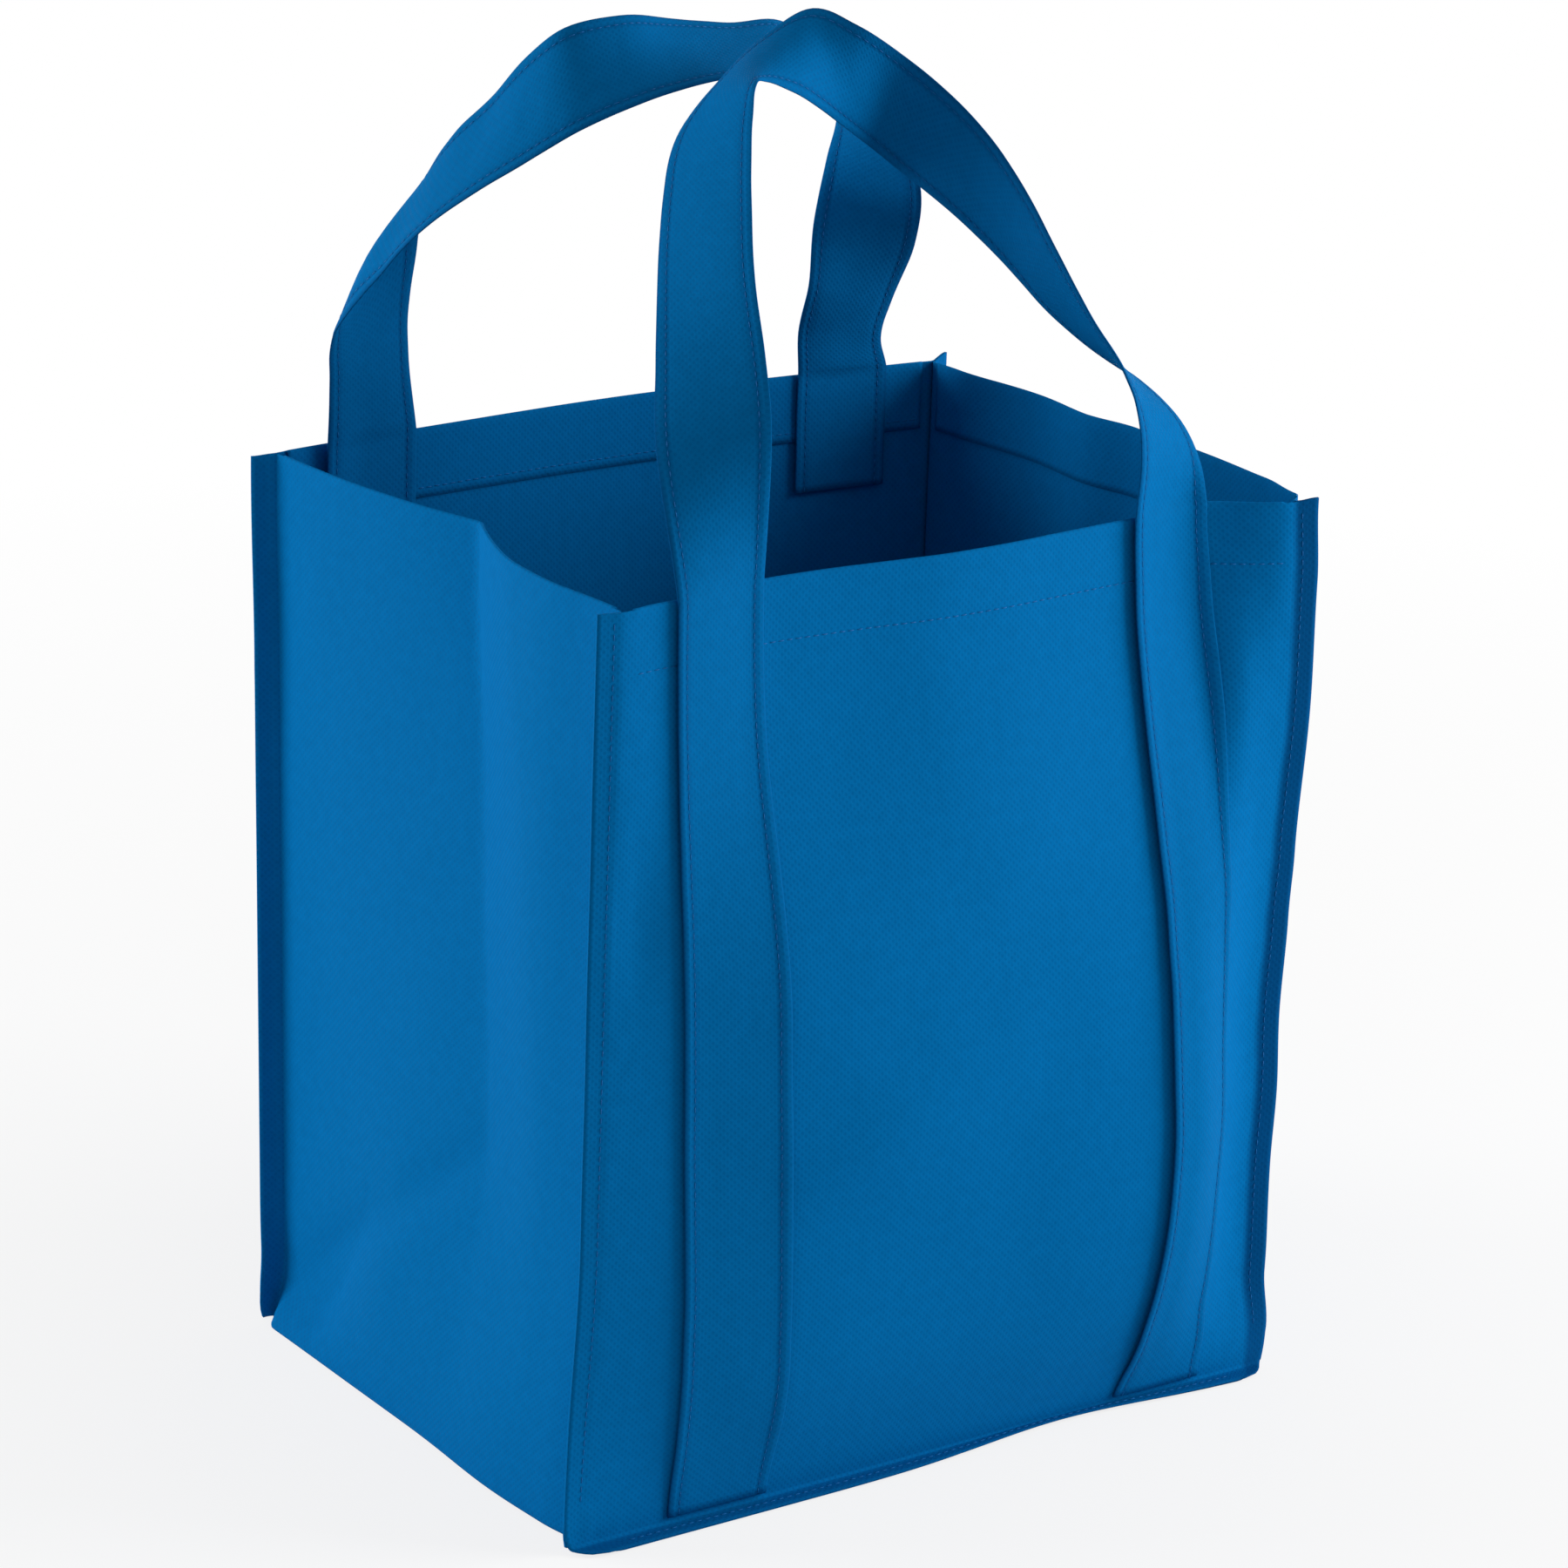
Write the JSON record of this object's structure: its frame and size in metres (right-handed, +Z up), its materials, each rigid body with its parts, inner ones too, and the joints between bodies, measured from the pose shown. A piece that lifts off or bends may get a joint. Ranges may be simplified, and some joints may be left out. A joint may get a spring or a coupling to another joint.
{
  "type": "tote bag",
  "caption": "Open-topped boxy tote bag of blue non-woven cloth with side gussets, a flat base and wide carrying straps that arch over the mouth.",
  "frame": {"origin": "middle of the base's underside, where the bag stands", "axes": "+Z up out of the mouth, -Y out of the front panel, +X to the right along the front panel"},
  "size_m": [0.3, 0.251, 0.4941],
  "materials": {
    "cloth": "matt spun-bonded polypropylene cloth",
    "strap": "matt doubled polypropylene cloth strap",
    "board": "matt grey stiffener board"
  },
  "bodies": {
    "root": {"front_panel": "cloth", "back_panel": "cloth", "gusset": "cloth", "front_handle": "strap", "back_handle": "strap", "base_board": "board"}
  },
  "joints": []
}
